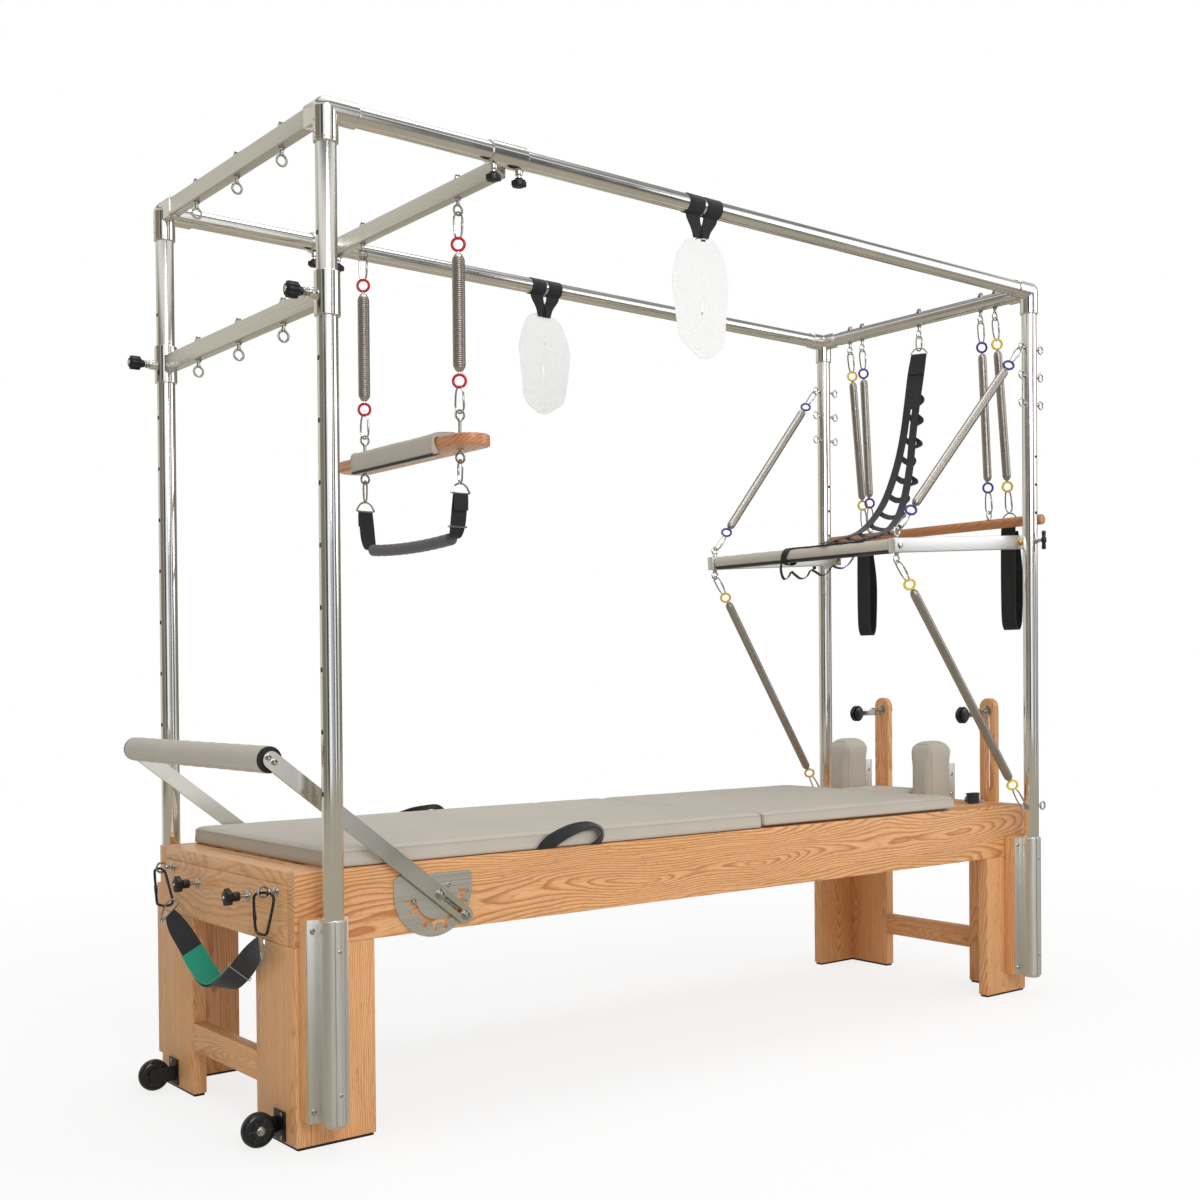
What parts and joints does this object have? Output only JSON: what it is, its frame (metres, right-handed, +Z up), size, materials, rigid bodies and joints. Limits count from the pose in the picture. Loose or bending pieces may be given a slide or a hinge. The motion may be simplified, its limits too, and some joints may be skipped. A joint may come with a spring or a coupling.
{
  "type": "pilates trapeze table",
  "caption": "Oak reformer table under a steel tube frame with a push-through bar, hanging trapeze, roll-down dowel, springs, loops, a footbar and a carriage for spring-resisted exercise.",
  "frame": {"origin": "on the floor, under the middle of the bounding box", "axes": "+X from the foot end (footbar) to the head end (push-through bar), +Y to the left side seen from the foot end facing the head end, +Z up"},
  "size_m": [2.5144, 0.916, 2.0895],
  "materials": {
    "oak": "clear satin varnish, cathedral grain",
    "board_wood": "reddish satin varnish",
    "dowel_wood": "satin varnish",
    "steel": "polished stainless tube",
    "aluminium": "fine satin",
    "spring_steel": "polished spring wire, powder-coated rings",
    "vinyl": "beige vinyl over foam",
    "webbing": "black woven webbing",
    "fleece": "white fleece sleeve on black webbing",
    "black_plastic": "satin"
  },
  "bodies": {
    "frame": {"side_rail_right": "oak", "side_rail_left": "oak", "end_board_foot": "oak", "end_board_head": "oak", "leg_frame_foot": "oak", "leg_frame_head": "oak", "wheel_bracket_right": "black_plastic", "wheel_bracket_left": "black_plastic", "post_foot_right": "steel", "post_head_right": "steel", "top_rail_right": "steel", "socket_foot_right": "aluminium", "socket_head_right": "aluminium", "post_foot_left": "steel", "post_head_left": "steel", "top_rail_left": "steel", "socket_foot_left": "aluminium", "socket_head_left": "aluminium", "top_beam_foot": "steel", "top_beam_head": "steel", "footbar_plate_right": "steel", "footbar_plate_left": "steel", "mat_insert": "vinyl", "pulley_post_right": "oak", "pulley_post_left": "oak", "push_spring_upper_right": "spring_steel", "push_spring_lower_right": "spring_steel", "push_spring_upper_left": "spring_steel", "push_spring_lower_left": "spring_steel", "ladder_strap": "webbing"},
    "wheel_right": {"wheel_right": "black_plastic"},
    "pulley_right": {"pulley_right": "black_plastic"},
    "shoulder_rest_right": {"shoulder_rest_right": "vinyl"},
    "plunger_right": {"plunger_right": "black_plastic"},
    "foot_loop_right": {"loop_spring_right": "webbing"},
    "fleece_right": {"fleece_loop_right": "fleece"},
    "wheel_left": {"wheel_left": "black_plastic"},
    "pulley_left": {"pulley_left": "black_plastic"},
    "shoulder_rest_left": {"shoulder_rest_left": "vinyl"},
    "plunger_left": {"plunger_left": "black_plastic"},
    "foot_loop_left": {"loop_spring_left": "webbing"},
    "fleece_left": {"fleece_loop_left": "fleece"},
    "footbar": {"footbar_frame": "steel", "footbar_roll": "vinyl"},
    "carriage": {"carriage_frame": "oak", "carriage_pad": "vinyl"},
    "headrest": {"headrest": "vinyl"},
    "push_bar": {"push_bar_frame": "aluminium", "push_bar_pad": "vinyl"},
    "crossbar_sliding": {"crossbar_sliding": "steel"},
    "trapeze": {"trapeze_bar": "board_wood", "trapeze_pad": "vinyl", "trapeze_spring_right": "spring_steel", "trapeze_spring_left": "spring_steel"},
    "sling": {"trapeze_sling": "webbing"},
    "crossbar_foot": {"crossbar_foot": "steel"},
    "rolldown": {"rolldown_bar": "dowel_wood", "rolldown_spring_right": "spring_steel", "rolldown_spring_left": "spring_steel"},
    "foot_strap": {"foot_strap": "webbing"}
  },
  "joints": [
    {"name": "wheel_spin_right", "type": "hinge", "parent": "frame", "child": "wheel_right", "pos_m": [-1.22175, -0.271, 0.038], "axis": [0, 1, 0], "continuous": true},
    {"name": "pulley_spin_right", "type": "hinge", "parent": "frame", "child": "pulley_right", "pos_m": [1.09525, -0.209, 0.82], "axis": [0, 1, 0], "continuous": true},
    {"name": "wheel_spin_left", "type": "hinge", "parent": "frame", "child": "wheel_left", "pos_m": [-1.22175, 0.271, 0.038], "axis": [0, 1, 0], "continuous": true},
    {"name": "pulley_spin_left", "type": "hinge", "parent": "frame", "child": "pulley_left", "pos_m": [1.09525, 0.209, 0.82], "axis": [0, 1, 0], "continuous": true},
    {"name": "footbar_hinge", "type": "hinge", "parent": "frame", "child": "footbar", "pos_m": [-0.84375, 0, 0.483], "axis": [0, 1, 0], "range_deg": [-38, 116]},
    {"name": "push_bar_hinge", "type": "hinge", "parent": "frame", "child": "push_bar", "pos_m": [1.16025, 0, 1.329], "axis": [0, 1, 0], "range_deg": [-60, 70], "stiffness_Nm_per_rad": 150, "springref_deg": 5.73, "deforming": ["push_spring_upper_right", "push_spring_upper_left", "push_spring_lower_right", "push_spring_lower_left", "ladder_strap"]},
    {"name": "carriage_slide", "type": "slide", "parent": "frame", "child": "carriage", "axis": [1, 0, 0], "range_m": [0, 0.09], "stiffness_N_per_m": 150, "springref_m": -0.3},
    {"name": "headrest_hinge", "type": "hinge", "parent": "carriage", "child": "headrest", "pos_m": [0.90175, 0, 0.595], "axis": [0, 1, 0], "range_deg": [-30, 0]},
    {"name": "shoulder_rest_lift_right", "type": "slide", "parent": "carriage", "child": "shoulder_rest_right", "axis": [0, 0, 1], "range_m": [0, 0.06]},
    {"name": "shoulder_rest_lift_left", "type": "slide", "parent": "carriage", "child": "shoulder_rest_left", "axis": [0, 0, 1], "range_m": [0, 0.06]},
    {"name": "crossbar_slide", "type": "slide", "parent": "frame", "child": "crossbar_sliding", "axis": [1, 0, 0], "range_m": [-0.15, 0.3]},
    {"name": "trapeze_swing", "type": "hinge", "parent": "crossbar_sliding", "child": "trapeze", "pos_m": [-0.68975, 0, 1.98296], "axis": [0, 1, 0], "range_deg": [-25, 25]},
    {"name": "sling_swing", "type": "hinge", "parent": "trapeze", "child": "sling", "pos_m": [-0.68975, 0, 1.42896], "axis": [0, 1, 0], "range_deg": [-30, 30]},
    {"name": "crossbar_foot_slide", "type": "slide", "parent": "frame", "child": "crossbar_foot", "axis": [0, 0, 1], "range_m": [-0.856, 0.122]},
    {"name": "plunger_pull_right", "type": "slide", "parent": "crossbar_foot", "child": "plunger_right", "axis": [-1, 0, 0], "range_m": [0, 0.01], "stiffness_N_per_m": 500},
    {"name": "plunger_pull_left", "type": "slide", "parent": "crossbar_foot", "child": "plunger_left", "axis": [-1, 0, 0], "range_m": [0, 0.01], "stiffness_N_per_m": 500},
    {"name": "rolldown_swing", "type": "hinge", "parent": "frame", "child": "rolldown", "pos_m": [1.16025, 0, 2.00296], "axis": [0, 1, 0], "range_deg": [-60, 0]},
    {"name": "foot_loop_swing_right", "type": "hinge", "parent": "rolldown", "child": "foot_loop_right", "pos_m": [1.16025, 0, 2.00296], "axis": [0, 1, 0], "range_deg": [-40, 0]},
    {"name": "foot_loop_swing_left", "type": "hinge", "parent": "rolldown", "child": "foot_loop_left", "pos_m": [1.16025, 0, 2.00296], "axis": [0, 1, 0], "range_deg": [-40, 0]},
    {"name": "fleece_swing_right", "type": "hinge", "parent": "frame", "child": "fleece_right", "pos_m": [-0.12775, -0.405, 2.055], "axis": [1, 0, 0], "range_deg": [-30, 30]},
    {"name": "fleece_swing_left", "type": "hinge", "parent": "frame", "child": "fleece_left", "pos_m": [0.00225, 0.405, 2.055], "axis": [1, 0, 0], "range_deg": [-30, 30]},
    {"name": "foot_strap_swing", "type": "hinge", "parent": "frame", "child": "foot_strap", "pos_m": [-1.20175, 0, 0.50721], "axis": [0, 1, 0], "range_deg": [-1, 60]}
  ]
}
